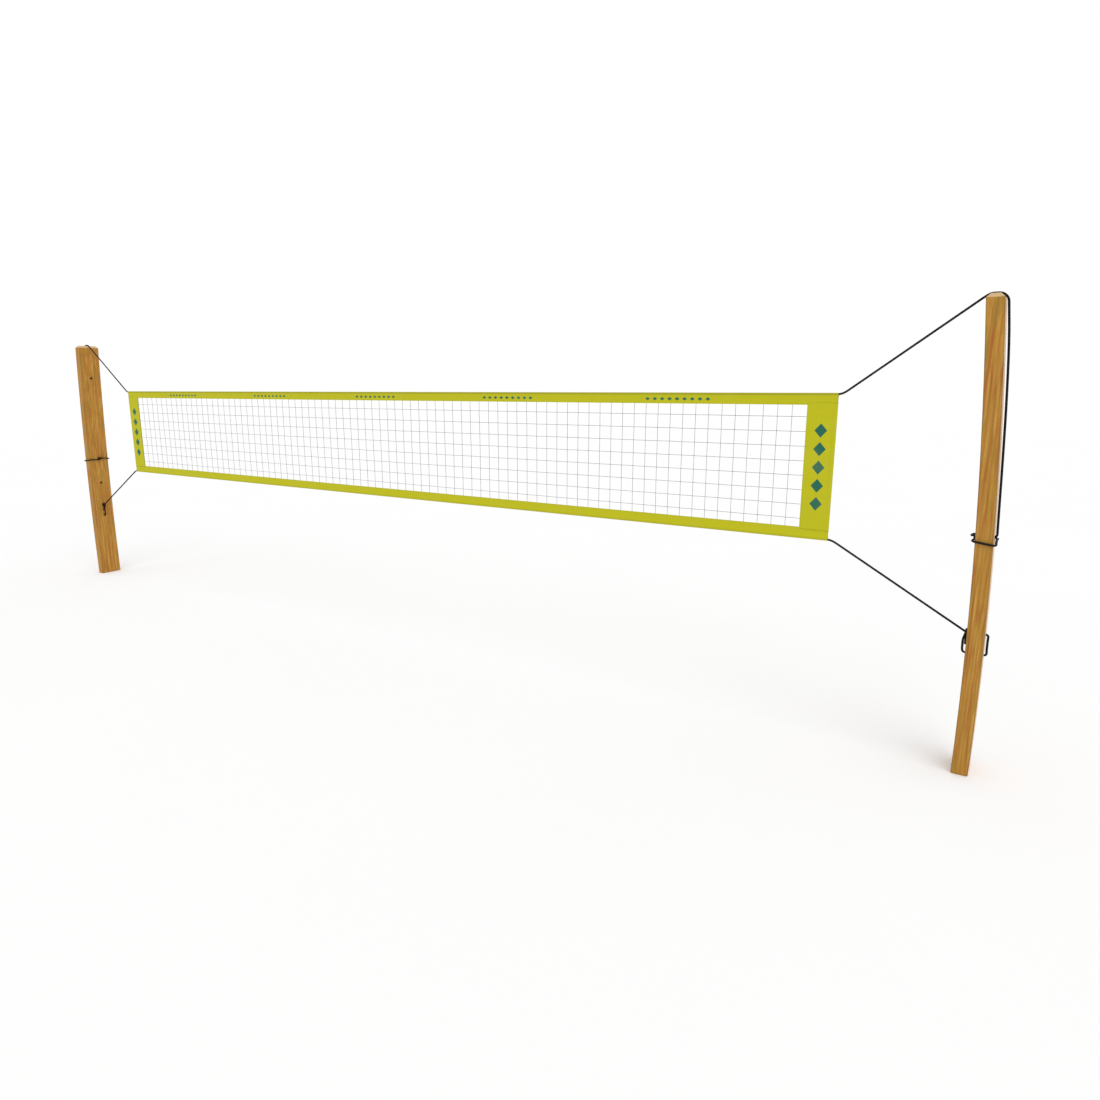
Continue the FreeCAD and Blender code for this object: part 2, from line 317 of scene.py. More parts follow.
def tube_rings(line, distances, sides, radius_at):
    """Rings round a line. The radius depends on the angle and the distance along it."""
    angles = angles_round(sides)
    return [
        [place + turned(across, up, angle) * radius_at(angle, distance) for angle in angles]
        for place, distance, (across, up) in zip(line, distances, carried_frames(line))
    ]


def smooth_line(name, points):
    """The line of the NURBS spline that has these control points."""
    data = bpy.data.curves.new(name, "CURVE")
    data.dimensions = "3D"
    data.resolution_u = 12
    spline = data.splines.new("NURBS")
    spline.points.add(len(points) - 1)
    for control, point in zip(spline.points, points):
        control.co = (*point, 1)
    spline.order_u = 3
    spline.use_endpoint_u = True
    route = bpy.data.objects.new(name, data)
    mesh = bpy.data.meshes.new_from_object(route)
    line = [vertex.co.copy() for vertex in mesh.vertices]
    bpy.data.meshes.remove(mesh)
    bpy.data.objects.remove(route)
    bpy.data.curves.remove(data)
    return line


# Shader nodes


def fill(tree, node, inputs):
    """Gives a node's inputs their values, or links them to other nodes' outputs."""
    for key, value in inputs.items():
        if isinstance(value, bpy.types.NodeSocket):
            tree.links.new(value, node.inputs[key])
        else:
            node.inputs[key].default_value = value


def put(tree, kind, inputs=None, **settings):
    """Adds a node, with its properties and with values or other sockets for its inputs."""
    made = tree.nodes.new(kind)
    for name, value in settings.items():
        setattr(made, name, value)
    fill(tree, made, inputs or {})
    return made


def maths(tree, operation, first, second=0.0):
    """The result of one step of arithmetic."""
    return put(tree, "ShaderNodeMath", {0: first, 1: second}, operation=operation).outputs[0]


def times(tree, first, second):
    return maths(tree, "MULTIPLY", first, second)


def plus(tree, first, second):
    return maths(tree, "ADD", first, second)


def vectors(tree, operation, first, second=(0, 0, 0)):
    """A step of arithmetic with vectors."""
    node = put(tree, "ShaderNodeVectorMath", {0: first, 1: second}, operation=operation)
    return node.outputs["Value"] if operation == "LENGTH" else node.outputs[0]


def mixed(tree, share, first, second):
    """Two colours mixed. A plain colour is given as three numbers."""
    colours = [value if isinstance(value, bpy.types.NodeSocket) else (*value, 1)
               for value in (first, second)]
    node = put(tree, "ShaderNodeMix", {0: share, 6: colours[0], 7: colours[1]}, data_type="RGBA")
    return node.outputs[2]


def tinted(tree, colour, shade, mask, share):
    """A colour that turns to a shade where a mask is 1, by no more than a share."""
    return mixed(tree, times(tree, mask, share), colour, shade)


def faded(tree, value, low, high):
    """0 below low, 1 above high, and smooth between them. High may be the lower one."""
    node = put(tree, "ShaderNodeMapRange", {0: value, 1: low, 2: high},
               interpolation_type="SMOOTHSTEP")
    return node.outputs[0]


def object_place(tree):
    """Where a point is on the part, in metres."""
    return put(tree, "ShaderNodeTexCoord").outputs["Object"]


def split_up(tree, vector):
    """The X, Y and Z of a vector."""
    return put(tree, "ShaderNodeSeparateXYZ", {0: vector}).outputs


def clouds(tree, vector, scale, detail, roughness=0.5):
    """Plain noise about one half."""
    inputs = {"Vector": vector, "Scale": scale, "Detail": detail, "Roughness": roughness}
    return put(tree, "ShaderNodeTexNoise", inputs).outputs[0]


def grained(tree, place, upright, scale, detail, roughness=0.5):
    """Noise that is drawn out along the upright by a factor below 1, and squeezed by one above it."""
    return clouds(tree, vectors(tree, "MULTIPLY", place, (1, 1, upright)), scale, detail, roughness)


def group(name, inputs, outputs):
    """A new shader node group with its sockets. Returns the tree and its two end nodes."""
    tree = bpy.data.node_groups.new(name, "ShaderNodeTree")
    for label, kind, default in inputs:
        socket = tree.interface.new_socket(name=label, in_out="INPUT", socket_type=kind)
        socket.default_value = default
    for label, kind in outputs:
        tree.interface.new_socket(name=label, in_out="OUTPUT", socket_type=kind)
    return tree, tree.nodes.new("NodeGroupInput").outputs, tree.nodes.new("NodeGroupOutput")


def placed_group(tree, name, inputs):
    """The outputs of one use of a node group, with its own values."""
    return put(tree, "ShaderNodeGroup", inputs, node_tree=bpy.data.node_groups[name]).outputs


def build_weathering():
    """Sun, salt and dust: a broad change of shade and small specks."""
    tree, given, out = group(
        "weathering",
        [("Color", "NodeSocketColor", (0.5, 0.5, 0.5, 1)),
         ("Dust", "NodeSocketColor", (0.5, 0.45, 0.35, 1)),
         ("Patches", "NodeSocketFloat", 0.15),
         ("Specks", "NodeSocketFloat", 0.1),
         ("Size", "NodeSocketFloat", 3.0)],
        [("Color", "NodeSocketColor"), ("Worn", "NodeSocketFloat")])
    place = object_place(tree)
    worn = faded(tree, clouds(tree, place, given["Size"], 3), 0.42, 0.72)
    speckled = faded(tree, clouds(tree, place, 420, 2), 0.56, 0.78)
    dusted = tinted(tree, given["Color"], given["Dust"], worn, given["Patches"])
    colour = tinted(tree, dusted, given["Dust"], speckled, given["Specks"])
    fill(tree, out, {"Color": colour, "Worn": worn})


def build_plait():
    """The crossing strands of a braid, or of a twine's lay, in the piece's own coordinates."""
    tree, given, out = group(
        "plait",
        [("Around", "NodeSocketFloat", 3.0),
         ("Along", "NodeSocketFloat", 50.0),
         ("Crossing", "NodeSocketFloat", 1.0)],
        [("Height", "NodeSocketFloat"), ("Furrow", "NodeSocketFloat")])
    place = split_up(tree, put(tree, "ShaderNodeTexCoord").outputs["UV"])
    turn = times(tree, place[0], times(tree, given["Around"], math.tau))
    run = times(tree, place[1], given["Along"])
    back = times(tree, run, given["Crossing"])
    one = maths(tree, "SINE", plus(tree, turn, run))
    other = maths(tree, "SINE", maths(tree, "SUBTRACT", turn, back))
    height = maths(tree, "MAXIMUM", one, other)
    fill(tree, out, {"Height": height, "Furrow": faded(tree, height, 0.35, -0.2)})


def build_weave():
    """A plain weave of flat yarns on the level and upright faces of a cloth."""
    tree, given, out = group(
        "weave", [("Threads", "NodeSocketFloat", 900.0)],
        [("Height", "NodeSocketFloat"), ("Gaps", "NodeSocketFloat")])
    place = split_up(tree, object_place(tree))
    warp, weft = [
        maths(tree, "SINE", times(tree, times(tree, place[axis], given["Threads"]), math.tau))
        for axis in (0, 2)
    ]
    height = times(tree, warp, weft)
    fill(tree, out, {"Height": height, "Gaps": faded(tree, height, -0.3, -0.9)})


def new_material(name, specular=0.5):
    """A material with its node tree and its shader."""
    made = bpy.data.materials.new(name)
    made.use_nodes = True
    shader = made.node_tree.nodes["Principled BSDF"]
    shader.inputs["Specular IOR Level"].default_value = specular
    return made, made.node_tree, shader


def finish_shader(tree, shader, colour, roughness, height, strength, distance):
    """Gives a shader its colour, its roughness and a bump of some strength and distance."""
    bump = put(tree, "ShaderNodeBump", {"Height": height, "Strength": strength, "Distance": distance})
    fill(tree, shader, {"Base Color": colour, "Roughness": roughness, "Normal": bump.outputs[0]})


def weathered(tree, colour, dust, patches, specks, size):
    """A colour with sun, salt and dust on it, and the mask of where they wore it."""
    return placed_group(tree, "weathering", {
        "Color": colour, "Dust": (*dust, 1), "Patches": patches, "Specks": specks, "Size": size})


def bore_masks(tree, place):
    """The insides of the drilled holes, where shade is painted, and the darker wood about their mouths."""
    inside = rim = 0.0
    for height in HOLES:
        offset = vectors(tree, "ADD", place, (0, 0, -height))
        away = vectors(tree, "LENGTH", vectors(tree, "MULTIPLY", offset, (0, 1, 1)))
        near = faded(tree, away, HOLE_RADIUS + 0.0012, HOLE_RADIUS + 0.0004)
        close = faded(tree, away, HOLE_RADIUS + HOLE_RIM, HOLE_RADIUS)
        inside = maths(tree, "MAXIMUM", inside, near)
        rim = maths(tree, "MAXIMUM", rim, close)
    return inside, rim


def growth_rings(tree, place, split, ring_width):
    """The late wood of wavy growth rings about a pith outside the timber."""
    pith_reach, pith_depth = 5.31, 0.21
    sideways = maths(tree, "SUBTRACT", maths(tree, "ABSOLUTE", split[0]), pith_reach)
    deep = maths(tree, "SUBTRACT", split[1], pith_depth)
    from_pith = put(tree, "ShaderNodeCombineXYZ", {0: sideways, 1: deep, 2: 0.0}).outputs[0]
    wave = times(tree, grained(tree, place, 0.05, 7, 3), 0.11)
    away = plus(tree, vectors(tree, "LENGTH", from_pith), wave)
    ring = maths(tree, "SINE", times(tree, away, math.tau / ring_width))
    return maths(tree, "POWER", plus(tree, times(tree, ring, 0.5), 0.5), 3.0)


def heartwood(tree, looks, place, streaks, fibres, late):
    """Honey-coloured wood with pale and brown streaks, olive and red flecks and late wood."""
    red_flecks = grained(tree, place, 0.1, 34, 4, 0.6)
    elsewhere = vectors(tree, "ADD", vectors(tree, "MULTIPLY", place, (1, 1, 0.15)), (3, 5, 2))
    olive_flecks = clouds(tree, elsewhere, 26, 4, 0.6)
    colour = mixed(tree, faded(tree, streaks, 0.46, 0.72), looks.honey, looks.pale)
    colour = mixed(tree, faded(tree, streaks, 0.5, 0.28), colour, looks.brown)
    colour = tinted(tree, colour, looks.olive, faded(tree, olive_flecks, 0.47, 0.64), 0.7)
    colour = tinted(tree, colour, looks.red, faded(tree, red_flecks, 0.49, 0.7), 0.85)
    colour = tinted(tree, colour, looks.brown, late, 0.3)
    return tinted(tree, colour, looks.brown, faded(tree, fibres, 0.52, 0.3), 0.3)


def timber_material(looks):
    """Straight-grained oiled timber: streaks along it, growth rings, end grain on the bevel, with painted
    light on the bevel and the outer face and painted shade on the arrises and in the holes.
    """
    made, tree, shader = new_material("timber", specular=0.25)
    place = object_place(tree)
    split = split_up(tree, place)
    late = growth_rings(tree, place, split, looks.ring_width)
    streaks = grained(tree, place, 0.022, 75, 4, 0.6)
    fibres = grained(tree, place, 0.03, 520, 3, 0.7)
    colour = heartwood(tree, looks, place, streaks, fibres, late)
    # painted light: the outer face of the bow is made paler, as if lit from that side, with the same
    # streaks in it
    facing = split_up(tree, put(tree, "ShaderNodeTexCoord").outputs["Normal"])
    outward = times(tree, facing[0], maths(tree, "SIGN", split[0]))
    outer_light_streaks = times(tree, faded(tree, streaks, 0.56, 0.36), 0.5)
    outer_light_grain = plus(tree, outer_light_streaks, times(tree, late, 0.35))
    outer_face_light = mixed(tree, outer_light_grain, looks.outer_face_light, OUTER_LIGHT_STREAK)
    colour = tinted(tree, colour, outer_face_light, faded(tree, outward, 0.82, 0.93), 0.85)
    # its arrises are darker: painted shade on their slanting faces
    slanting = maths(tree, "ABSOLUTE", times(tree, facing[0], facing[1]))
    colour = tinted(tree, colour, SHADED_ARRIS, faded(tree, slanting, 0.2, 0.42), 0.45)
    # the sawn top and its bevels show end grain, made paler where they face up: painted light from above
    top = times(tree, faded(tree, facing[2], 0.35, 0.55),
                faded(tree, split[2], POST_HEIGHT - 0.04, POST_HEIGHT - 0.03))
    colour = mixed(tree, top, colour, tinted(tree, looks.end_grain_and_light, looks.honey, late, 0.4))
    inside, rim = bore_masks(tree, place)
    # darker wood about each hole's mouth
    colour = tinted(tree, colour, HOLE_MOUTH_DARK, rim, 0.35)
    # painted shade inside the holes
    colour = tinted(tree, colour, HOLE_INSIDE_SHADE, inside, 0.8)
    worn = weathered(tree, colour, TIMBER_DUST, 0.12, 0.06, 2.3)
    rough = plus(tree, times(tree, fibres, 0.25), 0.42)
    rough = plus(tree, rough, times(tree, worn["Worn"], 0.08))
    relief = plus(tree, times(tree, fibres, 0.6), times(tree, late, -0.4))
    finish_shader(tree, shader, worn["Color"], rough, relief, 0.35, 0.0006)
    return made


def lozenge(tree, along, across, half_length, half_width):
    """1 inside a diamond about zero, 0 outside it."""
    one = maths(tree, "DIVIDE", maths(tree, "ABSOLUTE", along), half_length)
    other = maths(tree, "DIVIDE", maths(tree, "ABSOLUTE", across), half_width)
    return faded(tree, plus(tree, one, other), 1.015, 0.985)


def repeated(tree, value, pitch):
    """The distance from the nearest of an even row of places."""
    turns = maths(tree, "DIVIDE", value, pitch)
    return times(tree, maths(tree, "SUBTRACT", turns, maths(tree, "ROUND", turns)), pitch)


def within(tree, value, reach):
    """1 where a value is less than a reach away from zero."""
    return maths(tree, "LESS_THAN", maths(tree, "ABSOLUTE", value), reach)


def printed_mask(tree, split):
    """Plain lozenges: a column on each side band, and five short rows on the top band."""
    x, z = split[0], split[2]
    up_side = maths(tree, "SUBTRACT", z, (SIDE_LOW + SIDE_HIGH) / 2)
    off_side = maths(tree, "SUBTRACT", maths(tree, "ABSOLUTE", x), HALF_NET - SIDE_WIDTH / 2)
    column = lozenge(tree, repeated(tree, up_side, COLUMN_PITCH), off_side, *COLUMN_LOZENGE)
    column = times(tree, column, within(tree, up_side, COLUMN_REACH))
    off_row = maths(tree, "SUBTRACT", z, NET_TOP - ROW_DROP)
    along_row = repeated(tree, x, ROW_PITCH)
    beads = lozenge(tree, repeated(tree, along_row, BEAD_PITCH), off_row, *BEAD_LOZENGE)
    beads = times(tree, beads, within(tree, along_row, ROW_REACH))
    beads = times(tree, beads, within(tree, x, ROWS_REACH))
    return maths(tree, "MAXIMUM", column, beads)


def cloth_material(looks):
    """Coated yellow-green cloth with printed lozenges, with painted shade where it goes round a line."""
    made, tree, shader = new_material("band_cloth", specular=0.15)
    place = object_place(tree)
    split = split_up(tree, place)
    shade = faded(tree, grained(tree, place, 2, 6, 3), 0.35, 0.7)
    colour = tinted(tree, looks.cloth, CLOTH_SHADE, shade, 0.25)
    # painted shade along the hems round the lines: full at the head, less than half at the foot
    upper = faded(tree, split[2], NET_TOP - 0.0175, NET_TOP - 0.0145)
    lower = faded(tree, split[2], NET_BOTTOM + 0.0175, NET_BOTTOM + 0.0145)
    folded = maths(tree, "MAXIMUM", upper, times(tree, lower, 0.45))
    colour = mixed(tree, folded, colour, looks.fold)
    weave = placed_group(tree, "weave", {"Threads": 620.0})
    colour = tinted(tree, colour, CLOTH_GAP, weave["Gaps"], 0.12)
    solid = maths(tree, "SUBTRACT", 1.0, times(tree, weave["Gaps"], 0.15))
    ink = times(tree, printed_mask(tree, split), solid)
    colour = mixed(tree, ink, colour, looks.print_ink)
    worn = weathered(tree, colour, CLOTH_DUST, 0.08, 0.05, 5.0)
    rough = maths(tree, "SUBTRACT", 0.62, times(tree, ink, 0.12))
    finish_shader(tree, shader, worn["Color"], rough, weave["Height"], 0.25, 0.0002)
    return made


def strand_material(name, colour, around, along, crossing, roughness, shadow=0.6):
    """Twine, thread or rope: its strands show as ridges and darker furrows."""
    made, tree, shader = new_material(name, specular=0.2)
    plait = placed_group(tree, "plait", {"Around": around, "Along": along, "Crossing": crossing})
    dark = [value * 0.25 for value in colour]
    shaded = tinted(tree, colour, dark, plait["Furrow"], shadow)
    worn = weathered(tree, shaded, STRAND_DUST, 0.03, 0.06, 8.0)
    rough = plus(tree, times(tree, plait["Furrow"], 0.12), roughness)
    finish_shader(tree, shader, worn["Color"], rough, plait["Height"], 0.5, 0.0005)
    return made


def rod_material():
    """A drawn glass-fibre rod: pale, with fine streaks along it."""
    made, tree, shader = new_material("glass_fibre_rod")
    streaks = grained(tree, object_place(tree), 0.02, 900, 3, 0.7)
    colour = mixed(tree, faded(tree, streaks, 0.35, 0.65), ROD_PALE, ROD_DARK)
    rough = plus(tree, times(tree, streaks, 0.3), 0.25)
    finish_shader(tree, shader, colour, rough, streaks, 0.3, 0.0002)
    return made


def cap_material():
    """Moulded black rubber with a dusty bloom."""
    made, tree, shader = new_material("cap_rubber")
    grain = clouds(tree, object_place(tree), 1400, 2)
    worn = weathered(tree, (*CAP_BLACK, 1), CAP_DUST, 0.3, 0.2, 60.0)
    rough = plus(tree, times(tree, grain, 0.3), 0.55)
    finish_shader(tree, shader, worn["Color"], rough, grain, 0.3, 0.0002)
    return made


def floor_material(colour):
    """Plain pale floor with the faintest change of shade."""
    made, tree, shader = new_material("floor", specular=0.0)
    shade = faded(tree, clouds(tree, object_place(tree), 0.4, 2), 0.3, 0.7)
    dimmer = [value * 0.995 for value in colour]
    fill(tree, shader, {"Base Color": mixed(tree, shade, colour, dimmer), "Roughness": 0.9})
    return made


# How the net hangs


def belly(x, z):
    """How far the net sways out of its plane: nothing at its edges, most in its middle."""
    level = min(max((z - NET_BOTTOM) / (NET_TOP - NET_BOTTOM), 0.0), 1.0)
    inward = min(1.0, max(0.0, (HALF_NET - abs(x)) / 0.8))
    hold = math.sin(math.pi * level) * inward
    broad = noise.noise(Vector((x * 0.8, 0.0, z * 0.9)))
    small = noise.noise(Vector((x * 2.6, 5.0, z * 2.0)))
    return bpy.context.scene.net_twine.belly * hold * (broad + 0.4 * small)


class FoldedBand:
    """A strip folded in two round a line or a rod: where each point of it lies."""

    def __init__(self, name, width, gap, radius, low, high, to_row, seams):
        self.name, self.gap, self.radius = name, gap, radius
        self.low, self.high, self.to_row, self.seams = low, high, to_row, seams
        self.looks = bpy.context.scene.net_bands
        self.half = self.looks.thickness / 2
        self.centre = width - radius - self.half
        self.knee = self.centre - 4 * radius

    def middle_line(self):
        """Across and depth of the cloth's middle, from one free edge round to the other."""
        reach = math.hypot(4 * self.radius, self.gap)
        touch = math.atan2(-self.gap, 4 * self.radius) + math.asin(self.radius / reach)
        nearer, near, longest = 0.0015, 0.004, 0.018
        beside = (-near, -nearer, 0.0, nearer, near)
        leaf = [0.0, nearer, near] + [seam + offset for seam in self.seams for offset in beside]
        steps = max(2, int(self.knee / longest))
        leaf += [self.knee * step / steps for step in range(1, steps + 1)]
        leaf = sorted(set(round(value, 5) for value in leaf if value <= self.knee))
        upper = [(across, self.gap) for across in leaf]
        start = math.pi / 2 + touch
        for share in (1 / 3, 2 / 3, 1.0):
            upper.append((
                self.knee + (self.centre + self.radius * math.cos(start) - self.knee) * share,
                self.gap + (self.radius * math.sin(start) - self.gap) * share))
        for step in range(1, 9):
            angle = start * (1 - step / 9)
            upper.append((self.centre + self.radius * math.cos(angle), self.radius * math.sin(angle)))
        fold = [(self.centre + self.radius, 0.0)]
        return upper + fold + [(across, -depth) for across, depth in reversed(upper)]

    def drawn_in(self, across):
        """How far a seam pulls the two leaves together there."""
        spread = 0.0022
        pull = sum(math.exp(-((across - seam) / spread) ** 2) for seam in self.seams)
        return min(1.0, pull) * self.looks.pucker

    def place(self, along, across, depth, lift=0.0):
        """The point of the row at a place on the band, lifted off its middle."""
        side = 1 if depth > 0 else -1
        fine, broad = 0.00035, 0.0006
        wrinkle = fine * noise.noise(Vector((along * 36, across * 60, 3.0 * side)))
        wrinkle += broad * noise.noise(Vector((along * 7, across * 12, 9.0)))
        off = depth - side * self.drawn_in(across) + side * lift
        point = self.to_row(along, across, off + wrinkle)
        point.y += belly(point.x, point.z)
        return point

    def section(self):
        """The cloth's closed outline: its outside from edge to edge, then its inside back."""
        line = [Vector((across, depth)) for across, depth in self.middle_line()]
        outside, inside = [], []
        for index, point in enumerate(line):
            before, after = line[max(index - 1, 0)], line[min(index + 1, len(line) - 1)]
            way = (after - before).normalized()
            normal = Vector((-way.y, way.x))
            outside.append(point + normal * self.half)
            inside.append(point - normal * self.half)
        return outside, inside

    def cloth(self, material, replaced):
        """The band as one closed sheet, which replaces its plain solid."""
        outside, inside = self.section()
        spans = max(2, round((self.high - self.low) / self.looks.step))
        along = [self.low + (self.high - self.low) * span / spans for span in range(spans + 1)]
        rings = [
            [self.place(at, point.x, point.y) for point in outside + inside[::-1]] for at in along
        ]
        shape = Shape()
        base = shape.sweep(rings, along)
        layers = len(outside)
        count = 2 * layers
        for start in (base, base + spans * count):
            for index in range(layers - 1):
                shape.faces.append((
                    start + index, start + index + 1,
                    start + count - 2 - index, start + count - 1 - index))
                shape.places += [(0, 0), (1, 0), (1, 1), (0, 1)]
        piece = shape.piece(self.name, material, "band_fabric")
        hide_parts(replaced)
        return piece

    def stitches(self, shape, seam):
        """One row of lockstitch on both faces, each stitch sunk at its ends."""
        spacing = self.looks.stitch
        margin, reach = 0.005, 0.36 * spacing
        count = int((self.high - self.low - 2 * margin) / spacing)
        for number in range(count):
            middle = self.low + margin + (number + 0.5) * spacing
            for side in (1, -1):
                self.one_stitch(shape, middle, reach, seam, side * self.gap)

    def one_stitch(self, shape, middle, reach, across, depth):
        """A short thread that rises from the cloth and goes back into it."""
        radius, rise, sink = 0.00042, 0.0002, 0.0003
        outward = Vector((0, 1, 0))
        level = self.to_row(1, 0, 0) - self.to_row(0, 0, 0)
        sideways = level.cross(outward).normalized()
        rings = []
        for share in (-1.0, -0.6, 0.0, 0.6, 1.0):
            lift = self.half + rise * (1 - share * share) - sink * share**4
            centre = self.place(middle + reach * share, across, depth, lift)
            size = radius * (1 - 0.5 * abs(share) ** 3)
            rings.append([centre + turned(sideways, outward, angle) * size for angle in angles_round(5)])
        shape.sweep(rings, [0, 0.001, 0.002, 0.003, 0.004])


def level_to_row(fold_height, way):
    """Puts a place on a band along the net into the row."""
    def to_row(along, across, depth):
        return Vector((along, depth, fold_height - way * (BAND_HEIGHT - across)))
    return to_row


def side_to_row(way):
    """Puts a place on a side band into the row."""
    def to_row(along, across, depth):
        return Vector((way * (NET_INSIDE + across), depth, along))
    return to_row


def level_bands():
    """The head and foot bands, with a seam under the line and one near the free edges."""
    return [
        FoldedBand(name, BAND_HEIGHT, LEAF_GAP, HEM_RADIUS, -BAND_END, BAND_END,
                   level_to_row(fold_height, way), LEVEL_SEAMS)
        for name, fold_height, way in (("top_band_cloth", NET_TOP, 1),
                                       ("bottom_band_cloth", NET_BOTTOM, -1))
    ]


def side_bands():
    """The bands at the net's two ends, with a seam beside the batten's pocket."""
    return [
        FoldedBand(name, SIDE_WIDTH, SIDE_LEAF_GAP, POCKET_RADIUS, SIDE_LOW, SIDE_HIGH,
                   side_to_row(way), SIDE_SEAMS)
        for name, way in (("left_side_band_cloth", -1), ("right_side_band_cloth", 1))
    ]


def dress_band(band, cloth, thread, replaced):
    """Makes a band's cloth and its sewing."""
    piece = band.cloth(cloth, replaced)
    sewing = Shape()
    for seam in band.seams:
        band.stitches(sewing, seam)
    stitched = sewing.piece(band.name.replace("cloth", "stitches"), thread, "band_fabric")


# The ropes' routes, along those of the frame's tubes


def face_x(height, radius):
    """Where an arc face of the right post stands at a height above the ground."""
    return BOW_CENTRE + math.sqrt(radius**2 - (height - WIDEST_HEIGHT) ** 2)


def inner_x(height):
    return face_x(height, BOW_RADIUS)


def outer_x(height):
    return face_x(height, BOW_RADIUS + POST_THICKNESS)


def toward(start, end, distance):
    """The point on the way from start to end that is this far from start."""
    return start + (end - start).normalized() * distance


def head_route():
    """The right-hand end of the head line, from inside the hem to its tucked tail."""
    top_inner, top_outer = inner_x(POST_HEIGHT), outer_x(POST_HEIGHT)
    inner, outer, hole = inner_x(HEAD_HOLE), outer_x(HEAD_HOLE), HEAD_HOLE
    middle = (inner + outer) / 2
    corner_y, side_y = POST_HALF_DEPTH + LOOP_CORNER, POST_HALF_DEPTH + LOOP_SIDE
    half_way = POST_HALF_DEPTH / 2
    mouth = Vector((HALF_NET + MOUTH_REACH, 0, HEAD_LINE_HEIGHT))
    edge = Vector((top_inner + 0.0105, 0, POST_HEIGHT + 0.0055))
    over = Vector((top_outer + 0.0145, 0, POST_HEIGHT - 0.0237))
    down = [Vector((x, 0, z)) for x, z in ((5.1875, 2.735), (5.2113, 2.385), (5.228, 2.05), (5.242, 1.72))]
    return [
        mouth - Vector((4 * ROPE, 0, 0)),
        mouth,
        # straight and taut to the post, then over its top
        toward(mouth, edge, 6 * ROPE),
        toward(edge, mouth, 6 * ROPE),
        edge,
        Vector((top_inner + 0.036, 0, POST_HEIGHT + 0.01)),
        Vector((top_outer - 0.0155, 0, POST_HEIGHT + 0.0085)),
        over,
        # down the outer face
        toward(over, down[0], 0.036),
        *down,
        Vector((outer + 0.011, 0, hole + 0.042)),
        # in through the hole, and out at the inner face
        Vector((outer + 0.013, 0, hole + 0.0025)),
        Vector((outer - 0.024, 0, hole - 0.001)),
        Vector((inner + 0.024, 0, hole + 0.0005)),
        Vector((inner - 0.029, 0, hole)),
        # once round the post
        Vector((inner - 0.0255, half_way, hole - 0.0035)),
        Vector((inner - 0.0175, corner_y, hole - 0.0095)),
        Vector((middle, side_y, hole - 0.02)),
        Vector((outer + 0.0175, corner_y, hole - 0.029)),
        Vector((outer + 0.013, half_way, hole - 0.022)),
        Vector((outer + 0.014, 0, hole - 0.013)),
        Vector((outer + 0.013, -half_way, hole - 0.022)),
        Vector((outer + 0.0175, -corner_y, hole - 0.0325)),
        Vector((middle, -side_y, hole - 0.0245)),
        Vector((inner - 0.0165, -corner_y, hole - 0.014)),
        # under the line where it leaves the hole, and tucked behind it
        Vector((inner - 0.0093, -half_way, hole - 0.015)),
        Vector((inner - 0.0086, -0.0025, hole - 0.0205)),
        Vector((inner - 0.0082, 0.0255, hole - 0.0095)),
        Vector((inner - 0.0098, 0.036, hole + 0.01)),
    ]


def foot_route():
    """The right-hand end of the foot line, from inside the hem to its tucked tail."""
    inner, outer = inner_x(FOOT_HOLE), outer_x(FOOT_HOLE)
    mouth = Vector((HALF_NET + MOUTH_REACH, 0, FOOT_LINE_HEIGHT))
    entry = Vector((inner - 0.013, 0, FOOT_HOLE + 0.001))
    return [
        mouth - Vector((4 * ROPE, 0, 0)),
        mouth,
        # straight and taut to the post
        toward(mouth, entry, 6 * ROPE),
        toward(entry, mouth, 6 * ROPE),
        toward(entry, mouth, 0.02),
        entry,
        # in at the upper hole and out at the outer face
        Vector((inner + 0.01, 0, FOOT_HOLE + 0.001)),
        Vector((outer - 0.016, 0, FOOT_HOLE)),
        Vector((outer + 0.0163, 0, FOOT_HOLE - 0.001)),
        # down the outer face and back in
        Vector((outer + 0.0145, 0, FOOT_HOLE - 0.035)),
        Vector((outer + 0.0155, 0, RETURN_HOLE + 0.0325)),
        Vector((outer + 0.0175, 0, RETURN_HOLE)),
        Vector((outer - 0.016, 0, RETURN_HOLE + 0.001)),
        Vector((inner + 0.016, 0, RETURN_HOLE)),
        Vector((inner - 0.021, 0, RETURN_HOLE + 0.001)),
        # up the inner face and over the line where it goes in
        Vector((inner - 0.023, -0.002, RETURN_HOLE + 0.045)),
        Vector((inner - 0.024, -0.006, FOOT_HOLE - 0.05)),
        Vector((inner - 0.014, -0.016, FOOT_HOLE - 0.014)),
        Vector((inner - 0.009, -0.0155, FOOT_HOLE + 0.0175)),
        Vector((inner - 0.0085, 0.0155, FOOT_HOLE + 0.0175)),
        # down again, and tucked between the rising stretch and the post
        Vector((inner - 0.0085, 0.016, FOOT_HOLE - 0.014)),
        Vector((inner - 0.0082, 0.004, FOOT_HOLE - 0.046)),
        Vector((inner - 0.008, -0.012, FOOT_HOLE - 0.08)),
    ]


def both_ends(route):
    """The whole line: the left-hand end mirrored, then the right-hand end."""
    return [Vector((-point.x, point.y, point.z)) for point in reversed(route)] + route


# The add-on's operators


class BEACHNET_OT_node_groups(bpy.types.Operator):
    """Build the shader effects that several materials share"""
    bl_idname = "beachnet.node_groups"
    bl_label = "Shared Effects"

    def execute(self, context):
        build_weathering()
        build_plait()
        build_weave()
        return {"FINISHED"}


class BEACHNET_OT_posts(bpy.types.Operator):
    """Finish the two timber posts"""
    bl_idname = "beachnet.posts"
    bl_label = "Timber Posts"

    def execute(self, context):
        timber = timber_material(context.scene.net_timber)
        for node in ("left_post", "right_post"):
            finish_node(node, timber)
        return {"FINISHED"}


class BEACHNET_OT_battens(bpy.types.Operator):
    """Finish the rods in the side bands and their caps"""
    bl_idname = "beachnet.battens"
    bl_label = "Battens"

    def execute(self, context):
        rod, rubber = rod_material(), cap_material()
        finish_node("left_batten", rod)
        finish_node("right_batten", rod)
        finish_node("batten_caps", rubber)
        return {"FINISHED"}


